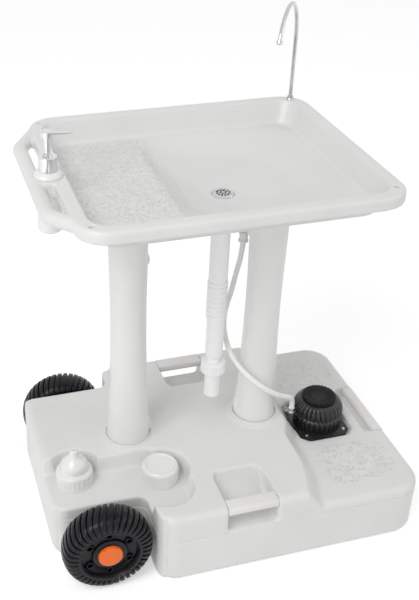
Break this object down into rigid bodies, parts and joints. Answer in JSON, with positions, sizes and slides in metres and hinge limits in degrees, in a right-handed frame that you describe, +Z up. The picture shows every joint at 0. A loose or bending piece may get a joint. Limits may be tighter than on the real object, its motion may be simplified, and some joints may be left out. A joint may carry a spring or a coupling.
{
  "type": "portable wash basin",
  "caption": "Wheeled outdoor wash stand: water tank with bellows pump and caps, columns, basin with tray and towel bar, swivel faucet, drain pipe and soap dispenser.",
  "frame": {"origin": "on the floor, under the middle of the whole object's box, which is the middle of the tank", "axes": "+X to the right seen from the front, away from the wheels and towards the pump; +Y to the back, where the faucet stands; +Z up"},
  "size_m": [0.67, 0.46, 0.8955],
  "materials": {
    "tank_plastic": "satin blow-moulded",
    "column_plastic": "satin blow-moulded",
    "basin_plastic": "semi-gloss, textured on the tray",
    "grip_plastic": "satin",
    "cap_white": "gloss",
    "pipe_white": "satin",
    "hose_white": "satin, slightly milky",
    "wheel_black": "satin",
    "hub_orange": "satin",
    "black_plastic": "satin",
    "grey_plastic": "satin",
    "bellows_rubber": "satin",
    "seal_rubber": "matte",
    "steel": "zinc plated",
    "chrome": "polished",
    "soap_chrome": "bright metal plating"
  },
  "bodies": {
    "stand": {"tank_tub": "tank_plastic", "tank_cover": "tank_plastic", "column_seats": "tank_plastic", "column_spigots": "tank_plastic", "screw_necks": "tank_plastic", "front_grip": "grip_plastic", "back_grip": "grip_plastic", "right_grip": "grip_plastic", "axle": "steel", "front_spacer": "black_plastic", "rear_spacer": "black_plastic", "front_clip": "steel", "rear_clip": "steel", "pump_plate": "black_plastic", "pump_screws": "steel", "pump_intake": "pipe_white", "pump_bellows": "bellows_rubber", "pump_outlet": "grey_plastic", "hose_clip": "steel", "supply_hose": "hose_white", "hose_joiner": "pipe_white", "left_column": "column_plastic", "right_column": "column_plastic", "left_column_catches": "column_plastic", "right_column_catches": "column_plastic", "basin_rim": "basin_plastic", "basin_tray": "basin_plastic", "basin_bowl": "basin_plastic", "column_sockets": "basin_plastic", "corner_sockets": "basin_plastic", "towel_bar": "basin_plastic", "drain_strainer": "chrome", "drain_gasket": "seal_rubber", "drain_nut": "pipe_white", "drain_pipe": "pipe_white", "drain_coupling": "pipe_white", "drain_tail": "pipe_white", "faucet_bush": "chrome", "faucet_nut": "chrome"},
    "front_wheel_set": {"front_wheel": "wheel_black", "front_hub_cap": "hub_orange"},
    "rear_wheel_set": {"rear_wheel": "wheel_black", "rear_hub_cap": "hub_orange"},
    "fill_cap_set": {"fill_cap": "cap_white", "fill_gasket": "seal_rubber"},
    "spout_cap_set": {"spout_cap": "cap_white", "spout_gasket": "seal_rubber"},
    "pump_button": {"pump_top": "black_plastic"},
    "faucet": {"faucet_neck": "chrome", "faucet_tip": "chrome"},
    "soap_bottle_set": {"soap_bottle": "cap_white", "soap_collar": "soap_chrome"},
    "soap_plunger": {"soap_head": "soap_chrome", "soap_dip_tube": "pipe_white"}
  },
  "joints": [
    {"name": "front_wheel_spin", "type": "hinge", "parent": "stand", "child": "front_wheel_set", "pos_m": [-0.254, -0.188, 0.08], "axis": [0, 1, 0], "continuous": true},
    {"name": "rear_wheel_spin", "type": "hinge", "parent": "stand", "child": "rear_wheel_set", "pos_m": [-0.254, 0.197, 0.08], "axis": [0, 1, 0], "continuous": true},
    {"name": "fill_cap_lift", "type": "slide", "parent": "stand", "child": "fill_cap_set", "axis": [0, 0, 1], "range_m": [0, 0.06]},
    {"name": "spout_cap_lift", "type": "slide", "parent": "stand", "child": "spout_cap_set", "axis": [0, 0, 1], "range_m": [0, 0.06]},
    {"name": "pump_press", "type": "slide", "parent": "stand", "child": "pump_button", "axis": [0, 0, -1], "range_m": [0, 0.035], "stiffness_N_per_m": 300, "springref_m": -0.006, "deforming": ["pump_bellows"]},
    {"name": "faucet_swivel", "type": "hinge", "parent": "stand", "child": "faucet", "pos_m": [0.197, 0.209, 0.702], "axis": [0, 0, 1], "range_deg": [-120, 120]},
    {"name": "soap_bottle_lift", "type": "slide", "parent": "stand", "child": "soap_bottle_set", "axis": [0, 0, 1], "range_m": [0, 0.12]},
    {"name": "soap_press", "type": "slide", "parent": "soap_bottle_set", "child": "soap_plunger", "axis": [0, 0, -1], "range_m": [0, 0.014], "stiffness_N_per_m": 150, "springref_m": -0.01}
  ]
}
